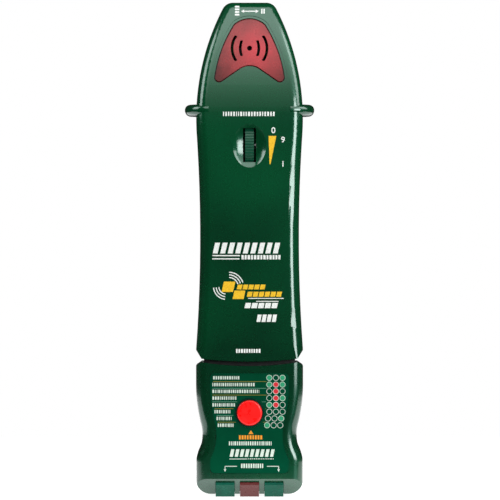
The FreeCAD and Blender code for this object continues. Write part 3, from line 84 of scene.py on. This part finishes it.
class Paint:
    """A node material on one Principled shader, with its pattern in object coordinates."""

    def __init__(self, name, **values):
        self.name = name
        self.material = bpy.data.materials.new(name)
        self.material.use_nodes = True
        self.nodes = self.material.node_tree.nodes
        self.links = self.material.node_tree.links
        self.shader = self.nodes["Principled BSDF"]
        self.normal = None
        for socket, value in values.items():
            self.shader.inputs[socket.replace("_", " ")].default_value = value
        self.place = self.nodes.new("ShaderNodeTexCoord").outputs["Object"]

    def add(self, kind, inputs, **properties):
        """A node with its properties set and its inputs linked or set."""
        node = self.nodes.new(f"ShaderNode{kind}")
        for key, value in properties.items():
            setattr(node, key, value)
        for key, value in inputs.items():
            if isinstance(value, bpy.types.NodeSocket):
                self.links.new(value, node.inputs[key])
            else:
                node.inputs[key].default_value = value
        return node

    def stretched(self, x, y, z):
        """Object coordinates scaled along each axis."""
        return self.add("Mapping", {"Vector": self.place, "Scale": (x, y, z)}).outputs["Vector"]

    def noise(self, size, detail=2.0, place=None):
        """Noise whose features are about size millimetres across."""
        inputs = {"Vector": place or self.place, "Scale": 1 / (size * MM), "Detail": detail}
        return self.add("TexNoise", inputs).outputs["Fac"]

    def axis(self, letter):
        """One object coordinate, in millimetres."""
        split = self.add("SeparateXYZ", {"Vector": self.place}).outputs[letter]
        return self.math("MULTIPLY", split, 1 / MM)

    def math(self, operation, *values):
        """Result of a math node on sockets or numbers."""
        return self.add("Math", dict(enumerate(values)), operation=operation).outputs[0]

    def band(self, value, centre, half, soft):
        """1 within half of the centre, falling to 0 over the soft distance."""
        away = self.math("ABSOLUTE", self.math("SUBTRACT", value, centre))
        return self.span(away, half + soft, half, 0.0, 1.0)

    def span(self, value, low, high, to_low, to_high):
        """The value's range from low to high mapped to another, held at its ends."""
        inputs = {"Value": value, "From Min": low, "From Max": high, "To Min": to_low, "To Max": to_high}
        return self.add("MapRange", inputs).outputs["Result"]

    def ramp(self, factor, *stops):
        """Colour from stops of (place, colour)."""
        node = self.add("ValToRGB", {"Fac": factor})
        elements = node.color_ramp.elements
        while len(elements) < len(stops):
            elements.new(0.5)
        for element, (place, colour) in zip(elements, stops):
            element.position = place
            element.color = (*colour, 1)
        return node.outputs["Color"]

    def mix(self, factor, first, second):
        """Mix of two colours, each a socket or a tuple."""
        node = self.add("Mix", {"Factor": factor}, data_type="RGBA")
        for key, value in ((6, first), (7, second)):
            if isinstance(value, bpy.types.NodeSocket):
                self.links.new(value, node.inputs[key])
            else:
                node.inputs[key].default_value = (*value, 1)
        return node.outputs[2]

    def colour(self, socket):
        """Use a socket as the base colour."""
        self.links.new(socket, self.shader.inputs["Base Color"])
        return self

    def rough(self, factor, low, high):
        """Roughness that a noise moves between low and high."""
        rough = self.span(factor, 0.3, 0.7, low, high)
        self.links.new(rough, self.shader.inputs["Roughness"])
        return self

    def bump(self, height, depth, strength=1.0):
        """Relief of a depth in millimetres, on top of any relief made before."""
        inputs = {"Height": height, "Distance": depth * MM, "Strength": strength}
        if self.normal:
            inputs["Normal"] = self.normal
        self.normal = self.add("Bump", inputs).outputs["Normal"]
        self.links.new(self.normal, self.shader.inputs["Normal"])
        return self


def shade(colour, factor):
    """Colour made lighter or darker by a factor."""
    return tuple(min(1.0, channel * factor) for channel in colour)


def moulded(name, colour, rough, grain=0.25, depth=0.006, drift=0.12, **values):
    """Moulded plastic: slow drift of its colour, fine grain and uneven gloss."""
    paint = Paint(name, **values)
    slow = paint.noise(14, 3)
    paint.colour(
        paint.ramp(slow, (0.3, shade(colour, 1 - drift)), (0.7, shade(colour, 1 + drift)))
    )
    paint.rough(paint.noise(2.2, 4), rough * 0.8, rough * 1.25)
    return paint.bump(paint.noise(grain, 2), depth)


def metal(name, colour, rough, along):
    """Brushed metal with its marks along an axis."""
    paint = Paint(name, Metallic=1.0)
    scales = {"X": (0.05, 1, 1), "Y": (1, 0.05, 1), "Z": (1, 1, 0.05)}[along]
    brushed = paint.noise(0.12, 3, paint.stretched(*scales))
    stain = paint.noise(5, 3)
    paint.colour(paint.ramp(stain, (0.3, shade(colour, 0.82)), (0.7, colour)))
    paint.rough(brushed, rough * 0.7, rough * 1.3)
    return paint.bump(brushed, 0.006)


SHELL = (0.0002, 0.043, 0.0125)
LABEL = (0.0003, 0.036, 0.0130)
SHEEN = (0.05, 1.0, 0.70, 1.0)  # tint of the broad sheen, below any clear coat
PARTING = 1.0  # plane where the front and rear shells meet, behind the middle


def shell():
    """Glossy green shell, with painted light lightening it towards the top and painted shade deepening it
    towards its foot, with a dark parting line.
    """
    paint = Paint("shell_green", Coat_Weight=1.0, Coat_Roughness=0.15, Coat_IOR=1.7)
    paint.shader.inputs["Specular IOR Level"].default_value = 0.35
    paint.shader.inputs["Specular Tint"].default_value = SHEEN
    slow = paint.noise(40, 1)
    # painted light and shade: the colour is raised towards the top and lowered towards the foot, then added
    # to the slow drift
    painted_light_by_height = paint.span(paint.axis("Z"), 50.0, 180.0, -0.17, 0.15)
    drift = paint.math("ADD", slow, painted_light_by_height)
    body = paint.ramp(drift, (0.3, shade(SHELL, 0.52)), (0.7, shade(SHELL, 1.32)))
    seam = paint.band(paint.axis("Y"), PARTING, 0.10, 0.08)
    paint.colour(paint.mix(seam, body, shade(SHELL, 0.12)))
    paint.rough(paint.noise(3.0, 2), 0.26, 0.30)
    paint.bump(paint.noise(0.5, 2), 0.0010)
    return paint.bump(paint.math("SUBTRACT", 1.0, seam), 0.15, 0.8)


def film():
    """Printed film of the wiring chart, with the faint weave of its matt face."""
    paint = Paint("label_green", Specular_IOR_Level=0.3, Specular_Tint=SHEEN)
    slow = paint.noise(12, 2)
    paint.colour(paint.ramp(slow, (0.35, shade(LABEL, 0.9)), (0.65, shade(LABEL, 1.12))))
    paint.rough(paint.noise(0.8, 3), 0.34, 0.46)
    return paint.bump(paint.noise(0.16, 2), 0.006)


def red_lens():
    """Translucent red lens, with painted light brightest a little right of the middle over the sounder and
    painted shade darkening into its horns.
    """
    # painted light: the brightest place sits right of the middle, and painted shade darkens the lens away
    # from it
    bright_x, bright_z = 2.5, middle("buzzer").z + 4.0
    reach = 20.0  # from the brightest place to the darkest
    paint = Paint("red_lens", Transmission_Weight=0.12, IOR=1.49, Specular_IOR_Level=0.35, Coat_Weight=0.25)
    across = paint.math("SUBTRACT", paint.axis("X"), bright_x)
    up = paint.math("SUBTRACT", paint.axis("Z"), bright_z)
    squares = [paint.math("MULTIPLY", value, value) for value in (across, up)]
    away = paint.math("SQRT", paint.math("ADD", *squares))
    uneven = paint.math("ADD", away, paint.span(paint.noise(5, 3), 0.3, 0.7, -1.8, 1.8))
    painted_light_glow = paint.ramp(
        paint.span(uneven, 0.0, reach, 0.0, 1.0),
        (0.0, (0.56, 0.036, 0.050)),
        (0.45, (0.36, 0.032, 0.036)),
        (1.0, (0.10, 0.010, 0.009)),
    )
    paint.colour(painted_light_glow)
    paint.rough(paint.noise(1.8, 4), 0.24, 0.36)
    return paint.bump(paint.noise(0.3, 2), 0.006)


def window(name, colour):
    """Translucent block of an indicator window, with its moulded streaks."""
    paint = Paint(name, Transmission_Weight=0.08, IOR=1.49, Specular_IOR_Level=0.15)
    streaks = paint.noise(4.0, 2, paint.stretched(1, 1, 0.4))
    paint.colour(paint.ramp(streaks, (0.3, shade(colour, 0.8)), (0.7, shade(colour, 1.15))))
    paint.rough(paint.noise(2.5, 2), 0.22, 0.3)
    return paint.bump(paint.noise(0.8, 2), 0.006)


def board():
    """Circuit board: solder mask over a grid of copper tracks."""
    paint = Paint("board")
    lane = paint.stretched(1, 0, 1)
    tracks = paint.add(
        "TexBrick",
        {"Vector": lane, "Scale": 1 / (4.5 * MM), "Mortar Size": 0.05, "Mortar Smooth": 0.1},
    ).outputs["Fac"]
    mask = paint.ramp(paint.noise(6, 3), (0.3, (0.004, 0.075, 0.022)), (0.7, (0.006, 0.105, 0.035)))
    paint.colour(paint.mix(tracks, mask, (0.03, 0.22, 0.07)))
    paint.rough(paint.noise(2, 3), 0.25, 0.4)
    return paint.bump(tracks, 0.03)


def striped(name, colour, stripe, axis, pitch, depth, rough):
    """Body with stripes across an axis, raised or sunk by a depth."""
    paint = Paint(name)
    turn = paint.math("MULTIPLY", paint.axis(axis), 2 * math.pi / pitch)
    wave = paint.span(paint.math("SINE", turn), 0.2, 0.7, 0.0, 1.0)
    speck = paint.noise(1.1, 3)
    ground = paint.ramp(speck, (0.3, shade(colour, 0.85)), (0.7, shade(colour, 1.1)))
    paint.colour(paint.mix(wave, ground, stripe))
    paint.rough(speck, rough * 0.8, rough * 1.2)
    return paint.bump(wave, depth)


def battery_sleeve():
    """Dark battery sleeve with a copper band round its top."""
    low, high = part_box("battery_case")
    split = (high.z - 0.28 * (high.z - low.z)) / MM
    paint = Paint("battery_jacket", Coat_Weight=0.4)
    top = paint.span(paint.axis("Z"), split - 0.1, split + 0.1, 0.0, 1.0)
    dark = paint.ramp(paint.noise(7, 3), (0.3, (0.018, 0.019, 0.022)), (0.7, (0.032, 0.034, 0.040)))
    paint.colour(paint.mix(top, dark, (0.42, 0.17, 0.05)))
    paint.rough(paint.noise(2.5, 3), 0.2, 0.34)
    return paint.bump(paint.noise(0.5, 2), 0.006)


def materials():
    """The finish of every slot in the record."""
    made = [
        shell(),
        film(),
        red_lens(),
        window("green_lens", (0.0005, 0.080, 0.048)),
        moulded("black_plastic", (0.012, 0.012, 0.013), 0.42, grain=0.2, depth=0.01),
        metal("blade_brass", (0.62, 0.47, 0.22), 0.3, "Z"),
        metal("spring_steel", (0.55, 0.55, 0.55), 0.26, "X"),
        board(),
        striped("resistor_tan", (0.52, 0.34, 0.17), (0.20, 0.03, 0.01), "Z", 1.3, 0.01, 0.4),
        moulded("capacitor_yellow", (0.60, 0.36, 0.012), 0.3),
        moulded(
            "lamp_clear", (0.72, 0.76, 0.78), 0.12, Transmission_Weight=0.7, IOR=1.5, Coat_Weight=0.3
        ),
        moulded("button_red", (0.84, 0.006, 0.005), 0.3, grain=0.3, depth=0.004, drift=0.04),
        moulded("white_plastic", (0.72, 0.72, 0.68), 0.4),
        moulded("bezel_green", (0.0006, 0.030, 0.018), 0.24),
        metal("screw_steel", (0.42, 0.42, 0.43), 0.3, "X"),
        moulded("wheel_green", (0.0015, 0.075, 0.036), 0.32, grain=0.18, depth=0.008),
        moulded("ferrite", (0.022, 0.022, 0.025), 0.55, grain=0.12, depth=0.02),
        striped("copper_wire", (0.36, 0.12, 0.05), (0.62, 0.26, 0.12), "X", 0.3, 0.08, 0.3),
        moulded("can_sleeve", (0.006, 0.009, 0.05), 0.22, Coat_Weight=0.3),
        battery_sleeve(),
        moulded("lead_red", (0.42, 0.008, 0.006), 0.5, grain=0.15, depth=0.01),
    ]
    return {paint.name: paint.material for paint in made}


def dress_nodes(finishes):
    """Give every CAD node the finish of its slot."""
    for name, part in NODES.items():
        part.data.materials.clear()
        part.data.materials.append(finishes[SLOT_OF[name]])
        smooth = part.modifiers.new("even_normals", "WEIGHTED_NORMAL")
        smooth.mode = "FACE_AREA_WITH_ANGLE"
        smooth.keep_sharp = True


def ink(name, colour):
    """Screen-printed ink with a slightly uneven, pin-holed coat."""
    paint = Paint(name)
    coat = paint.noise(0.45, 4)
    paint.colour(paint.ramp(coat, (0.28, shade(colour, 0.72)), (0.5, colour)))
    paint.rough(coat, 0.34, 0.5)
    paint.bump(coat, 0.008)
    return paint.material


# ---------------------------------------------------------------- print shapes
# A shape is a list of flat faces, each a list of (x, z) corners on the front face.


def bar(across, up, slant=0.0):
    """Upright or slanted block; slant shifts its top to the right."""
    (left, right), (low, high) = across, up
    return [[(left, low), (right, low), (right + slant, high), (left + slant, high)]]


def band_arc(centre, radius, wide, angles):
    """Curved band between two angles in degrees."""
    start, end = angles
    steps = max(3, int(abs(end - start) / 9))
    rim = []
    for n in range(steps + 1):
        angle = math.radians(start + (end - start) * n / steps)
        ray = (math.cos(angle), math.sin(angle))
        rim.append([(centre[0] + ray[0] * r, centre[1] + ray[1] * r) for r in (radius, radius + wide)])
    return [[a[0], b[0], b[1], a[1]] for a, b in zip(rim, rim[1:])]


def disc(centre, radius):
    """Filled circle."""
    turns = [2 * math.pi * n / 28 for n in range(28)]
    return [[(centre[0] + radius * math.cos(a), centre[1] + radius * math.sin(a)) for a in turns]]


def words(across, up, seed, gap=0.38, widths=(0.3, 0.75)):
    """Row of plain blocks of uneven length that stands in for a line of print."""
    chance = random.Random(seed)
    left, right = across
    made = []
    while left < right - widths[0] / 2:
        end = min(right, left + chance.uniform(*widths))
        made += bar((left, end), up)
        left = end + gap
    return made


def slanted_row(across, up, count, slant, gap):
    """Row of equal slanted blocks."""
    left, right = across
    wide = (right - slant - left + gap) / count - gap
    made = []
    for n in range(count):
        start = left + n * (wide + gap)
        made += bar((start, start + wide), up, slant)
    return made


def numeral(character, centre, tall):
    """Numeral from Blender's own font, centred on a point."""
    curve = bpy.data.curves.new(f"numeral_{character}", "FONT")
    curve.body = character
    curve.size = tall / 0.7
    curve.offset = tall * 0.02
    made = bpy.data.objects.new(curve.name, curve)
    bpy.context.scene.collection.objects.link(made)
    mesh = made.to_mesh()
    points = [vertex.co.copy() for vertex in mesh.vertices]
    faces = [list(face.vertices) for face in mesh.polygons]
    made.to_mesh_clear()
    bpy.data.objects.remove(made)
    half = [(min(p[i] for p in points) + max(p[i] for p in points)) / 2 for i in (0, 1)]
    flat = [(p.x - half[0] + centre[0], p.y - half[1] + centre[1]) for p in points]
    return [[flat[i] for i in face] for face in faces]


def arrow_head(tip, base, half):
    """Triangle from a base point to its tip."""
    run = Vector(tip) - Vector(base)
    side = Vector((-run.y, run.x)).normalized() * half
    return [[tuple(tip), tuple(Vector(base) + side), tuple(Vector(base) - side)]]


# ---------------------------------------------------------------- printing


def surface(node):
    """Search tree of a CAD node's faces."""
    mesh = NODES[node].data
    points = [vertex.co.copy() for vertex in mesh.vertices]
    faces = [list(face.vertices) for face in mesh.polygons]
    return BVHTree.FromPolygons(points, faces)


LIFT = 0.025  # ink above the surface
SINK = 0.02  # ink below it, so that it closes against the surface
GRID = 1.2  # ink is cut on this grid to follow a curved face


def cut_on_grid(mesh):
    """Split faces on a grid across X and up Z."""
    for axis in (0, 2):
        places = [vertex.co[axis] for vertex in mesh.verts]
        first = math.ceil(min(places) / (GRID * MM))
        last = math.floor(max(places) / (GRID * MM))
        normal = Vector((1, 0, 0)) if axis == 0 else Vector((0, 0, 1))
        for step in range(first, last + 1):
            parts = mesh.verts[:] + mesh.edges[:] + mesh.faces[:]
            bmesh.ops.bisect_plane(mesh, geom=parts, plane_co=normal * step * GRID * MM, plane_no=normal)


def printed(name, shapes, under, body, material):
    """Lay shapes on the front of the surface under them as a thin closed coat of ink."""
    mesh = bmesh.new()
    for corners in shapes:
        mesh.faces.new([mesh.verts.new((x * MM, 0.0, z * MM)) for x, z in corners])
    bmesh.ops.remove_doubles(mesh, verts=mesh.verts, dist=1e-6)
    cut_on_grid(mesh)
    bmesh.ops.recalc_face_normals(mesh, faces=mesh.faces)
    for vertex in mesh.verts:
        start = Vector((vertex.co.x, CAD_BOUNDS[0].y - 0.01, vertex.co.z))
        hit = under.ray_cast(start, Vector((0, 1, 0)))[0]
        vertex.co.y = hit.y - LIFT * MM
    backs = bmesh.ops.extrude_face_region(mesh, geom=mesh.faces[:])["geom"]
    for item in backs:
        if isinstance(item, bmesh.types.BMVert):
            item.co.y += (LIFT + SINK) * MM
    bmesh.ops.recalc_face_normals(mesh, faces=mesh.faces)
    data = bpy.data.meshes.new(name)
    mesh.to_mesh(data)
    mesh.free()
    data.materials.append(material)
    piece = bpy.data.objects.new(name, data)
    bpy.context.scene.collection.objects.link(piece)
    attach(piece, body)


WHEEL = middle("thumbwheel")
BUTTON = middle("test_button")


def tip_print():
    """Two markers and the double arrow between them, above the lens."""
    level = 213.0
    shaft = bar((-2.6, 3.0), (level - 0.22, level + 0.22))
    heads = arrow_head((-3.7, level), (-2.4, level), 0.75) + arrow_head((4.0, level), (2.7, level), 0.75)
    left = []
    for n in range(4):
        left += bar((-6.4, -4.5), (level - 1.95 + n * 1.2, level - 1.15 + n * 1.2))
    right = bar((5.1, 5.7), (level - 1.1, level + 1.1)) + bar((6.1, 6.7), (level - 1.1, level + 1.1))
    return shaft + heads + left + right


def dial_print():
    """Heading over the wheel, with the off mark and the dial's numbers beside it."""
    heading = words((-11.6, 11.5), (WHEEL.z + 12.7, WHEEL.z + 14.6), seed=3, gap=0.5, widths=(0.4, 0.9))
    off = numeral("0", (10.4, WHEEL.z + 6.5), 2.6)
    high = numeral("9", (14.6, WHEEL.z + 2.4), 2.5)
    low = numeral("1", (14.6, WHEEL.z - 8.2), 2.5)
    return heading + off + high + low


def wedge_print():
    """Wedge that narrows from high to low beside the wheel."""
    top, bottom = WHEEL.z + 4.0, WHEEL.z - 8.3
    return [[(8.3, top), (8.75, bottom), (9.15, bottom), (11.7, top)]]


def maker_print():
    """Plain slanted blocks and rules in the place of a name plate."""
    blocks = slanted_row((-16.1, 13.4), (106.6, 111.3), count=9, slant=1.1, gap=1.15)
    rules = bar((-16.2, -4.2), (105.4, 105.9)) + bar((-16.3, -4.4), (104.0, 104.5))
    return blocks + rules + words((-3.5, 13.5), (104.0, 105.9), seed=7, gap=0.4, widths=(0.8, 1.3))


def wave_print():
    """Signal waves round the product mark, and the rules under it."""
    waves = []
    for n in range(3):
        waves += band_arc((-9.1, 91.9), 4.0 + n * 1.15, 0.45, (18, 88))
        waves += band_arc((-10.2, 92.1), 3.0 + n * 1.15, 0.45, (185, 264))
    rules = bar((-0.6, 14.9), (86.8, 87.15)) + bar((2.9, 12.6), (85.5, 85.85))
    return waves + rules


def receiver_white():
    """Everything printed in white on the receiver."""
    lower = slanted_row((-2.2, 12.4), (82.7, 85.0), count=5, slant=0.5, gap=0.5)
    mark = slanted_row((3.0, 12.0), (76.7, 79.9), count=4, slant=0.6, gap=0.55)
    foot = words((-5.9, 5.3), (63.2, 64.9), seed=11, widths=(0.5, 0.9))
    return tip_print() + dial_print() + maker_print() + wave_print() + lower + mark + foot


def receiver_yellow():
    """Wedge of the dial and the slanted blocks of the product mark."""
    big = bar((-12.2, -7.2), (89.8, 94.3), 1.0) + bar((-7.4, -2.6), (86.7, 90.4), 0.8)
    upper = slanted_row((-5.6, 7.0), (90.9, 93.0), count=5, slant=0.5, gap=0.45)
    lower = slanted_row((-1.2, 14.2), (87.7, 89.9), count=6, slant=0.5, gap=0.45)
    return wedge_print() + big + upper + lower


ROW_TOP = 52.3
ROW_PITCH = 2.96
ROW_HALF = 0.72
CHART = (  # where a row's print starts and ends, and its three lamps: green, red or out
    (-15.9, -4.0, "G.G"),
    (-16.2, 2.6, "GRG"),
    (-16.2, 4.2, ".R."),
    (-16.2, -5.3, ".RG"),
    (-16.2, -6.2, "GR."),
    (-15.3, -8.4, "..."),
    (-14.4, -7.6, "..G"),
    (-13.9, -6.8, "G.."),
)
LAMP_COLUMNS = (8.65, 11.5, 14.4)
LAMP_RADIUS = 1.28
RING = 0.2  # width of a lamp's ring
RULE_HALF = 0.09
BUTTON_CLEAR = 7.2  # the rules stop this far from the middle of the button
ROW_SHIFT = {6: -0.6, 7: -1.0}  # the waist pushes the lowest lamps inward


def chart_rows():
    """Each row's number, the ends of its print, and its lamps with their places."""
    for n, (start, end, lamps) in enumerate(CHART):
        shift = ROW_SHIFT.get(n, 0.0)
        places = [(x + shift, ROW_TOP - n * ROW_PITCH) for x in LAMP_COLUMNS]
        yield n, start, end, list(zip(lamps, places))


def chart_white():
    """Row print, lamp rings, and the marks at the bottom of the chart."""
    made = []
    for n, start, end, lamps in chart_rows():
        level = ROW_TOP - n * ROW_PITCH
        made += words((start, end), (level - ROW_HALF, level + ROW_HALF), seed=20 + n)
        for _, place in lamps:
            made += band_arc(place, LAMP_RADIUS - RING, RING, (0, 360))
    made += words((-9.0, 10.0), (22.8, 24.5), seed=41)
    made += slanted_row((-8.7, 11.0), (17.8, 21.1), count=9, slant=0.7, gap=0.8)
    made += bar((-8.8, -1.0), (16.7, 17.0)) + words((-0.5, 10.5), (16.7, 17.1), seed=43)
    made += words((-3.7, 6.2), (12.9, 14.8), seed=47, widths=(0.5, 0.9))
    for inner, outer in ((-5.5, -10.7), (7.6, 12.7)):
        made += bar(sorted((inner, outer)), (13.5, 13.8))
        made += bar((outer - 0.15, outer + 0.15), (12.2, 13.8))
        made += arrow_head((outer, 11.2), (outer, 12.4), 0.55)
    return made


def chart_lamps(letter):
    """Discs of the lamps lit in one colour."""
    made = []
    for _, _, _, lamps in chart_rows():
        for lit, place in lamps:
            if lit == letter:
                made += disc(place, LAMP_RADIUS - RING)
    return made


def chart_rules(first):
    """Every second rule between rows, broken where the button is."""
    made = []
    reach = BUTTON_CLEAR
    for n in range(first, len(CHART) - 1, 2):
        level = ROW_TOP - (n + 0.55) * ROW_PITCH
        start = max(CHART[n][0], CHART[n + 1][0])
        thick = (level - RULE_HALF, level + RULE_HALF)
        if abs(level - BUTTON.z) < reach:
            edge = math.sqrt(reach**2 - (level - BUTTON.z) ** 2)
            made += bar((start, -edge), thick)
            if edge < reach - 0.2:
                made += bar((edge, reach), thick)
        else:
            made += bar((start, reach + 0.2), thick)
    return made


def chart_orange():
    """Arrow up to the button, and the line of print under it."""
    arrow = arrow_head((0.6, 29.4), (0.6, 27.7), 1.1)
    return arrow + words((-4.6, 5.5), (25.4, 27.2), seed=53, widths=(0.5, 0.9))


def print_all():
    """Print the receiver's face and the wiring chart."""
    wand = surface("receiver_front_shell")
    chart = surface("wiring_chart_label")
    white = ink("ink_white", (0.80, 0.83, 0.80))
    yellow = ink("ink_yellow", (0.84, 0.50, 0.012))
    chart_ink = ink("ink_pale", (0.56, 0.66, 0.58))
    printed("print_white", receiver_white(), wand, "receiver", white)
    printed("print_yellow", receiver_yellow(), wand, "receiver", yellow)
    coats = (
        ("chart_print", chart_white(), "white_plastic", chart_ink),
        ("chart_green_lamps", chart_lamps("G"), "green_lens", ink("ink_green", (0.004, 0.27, 0.12))),
        ("chart_red_lamps", chart_lamps("R"), "button_red", ink("ink_red", (0.58, 0.012, 0.022))),
        ("chart_ochre_rules", chart_rules(0), "capacitor_yellow", ink("ink_ochre", (0.24, 0.20, 0.012))),
        ("chart_teal_rules", chart_rules(1), "bezel_green", ink("ink_teal", (0.10, 0.30, 0.20))),
        ("chart_orange", chart_orange(), "capacitor_yellow", ink("ink_orange", (0.72, 0.27, 0.010))),
    )
    for name, shapes, slot, material in coats:
        printed(name, shapes, chart, "transmitter", material)


# ---------------------------------------------------------------- studio


def floor():
    """Pale flat floor, with a little light of its own to keep it white."""
    corners = [(-0.4, -0.1, 0), (0.4, -0.1, 0), (0.4, 0.6, 0), (-0.4, 0.6, 0)]
    data = bpy.data.meshes.new("floor")
    data.from_pydata(corners, [], [(0, 1, 2, 3)])
    paint = Paint("floor_paper", Emission_Color=(1, 1, 1, 1), Emission_Strength=0.9)
    paint.colour(paint.ramp(paint.noise(3, 3), (0.3, (0.86, 0.86, 0.86)), (0.7, (0.90, 0.90, 0.90))))
    paint.rough(paint.noise(2, 2), 0.75, 0.85)
    data.materials.append(paint.material)
    sheet = bpy.data.objects.new("floor", data)
    bpy.context.scene.collection.objects.link(sheet)


def fade_downwards(light):
    """Dim an area light smoothly to nothing at its lower edge."""
    light.use_nodes = True
    nodes, links = light.node_tree.nodes, light.node_tree.links
    across = nodes.new("ShaderNodeSeparateXYZ")
    links.new(nodes.new("ShaderNodeNewGeometry").outputs["Parametric"], across.inputs[0])
    slope = nodes.new("ShaderNodeMapRange")
    slope.interpolation_type = "SMOOTHSTEP"
    slope.inputs["From Max"].default_value = 0.75
    links.new(across.outputs["Y"], slope.inputs["Value"])
    links.new(slope.outputs["Result"], nodes["Emission"].inputs["Strength"])


def softbox(name, place, aim, size, radiance):
    """Area light of a size in metres, as bright per area whatever its size."""
    light = bpy.data.lights.new(name, "AREA")
    light.shape = "RECTANGLE"
    light.size, light.size_y = size
    light.energy = radiance * size[0] * size[1] * math.pi
    box = bpy.data.objects.new(name, light)
    bpy.context.scene.collection.objects.link(box)
    box.location = place
    box.rotation_euler = (Vector(aim) - Vector(place)).to_track_quat("-Z", "Y").to_euler()
    return light


def world():
    """White to the eye, and dim to everything it would light."""
    made = bpy.data.worlds.new("studio")
    made.use_nodes = True
    nodes, links = made.node_tree.nodes, made.node_tree.links
    seen = nodes.new("ShaderNodeLightPath").outputs["Is Camera Ray"]
    strength = nodes.new("ShaderNodeMapRange")
    strength.inputs["To Min"].default_value = 0.02
    strength.inputs["To Max"].default_value = 1.0
    links.new(seen, strength.inputs["Value"])
    links.new(strength.outputs["Result"], nodes["Background"].inputs["Strength"])
    nodes["Background"].inputs["Color"].default_value = (1, 1, 1, 1)
    bpy.context.scene.world = made


def studio():
    """Fading box over the nose, a bright box at the right, and a dimmer one high at each side."""
    over = softbox("over", (0.10, -0.31, 0.43), (0, -0.02, 0.18), (0.60, 0.46), 2.2)
    fade_downwards(over)
    softbox("right_box", (0.40, -0.60, 0.22), (0, 0, 0.20), (0.36, 0.36), 9.0)
    softbox("right_strip", (0.45, -0.14, 0.44), (0, 0, 0.19), (0.26, 0.36), 4.0)
    softbox("left_strip", (-0.45, -0.16, 0.44), (0, 0, 0.19), (0.26, 0.36), 4.0)


def camera():
    """Level camera in front, whose frame is just taller than the object."""
    data = bpy.data.cameras.new("camera")
    data.lens = 320.0
    data.sensor_width = 36.0
    eye = bpy.data.objects.new("camera", data)
    bpy.context.scene.collection.objects.link(eye)
    shown = 218.3 * MM  # height of the frame at the front face
    distance = shown * data.lens / data.sensor_width
    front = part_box("receiver_front_shell")[0].y
    eye.location = (0.0002, front - distance, 0.1081)
    eye.rotation_euler = (math.radians(90), 0, 0)
    data.clip_start = 0.01
    bpy.context.scene.camera = eye


dress_nodes(materials())
print_all()
floor()
world()
studio()
camera()
bpy.context.scene.view_settings.view_transform = "Standard"
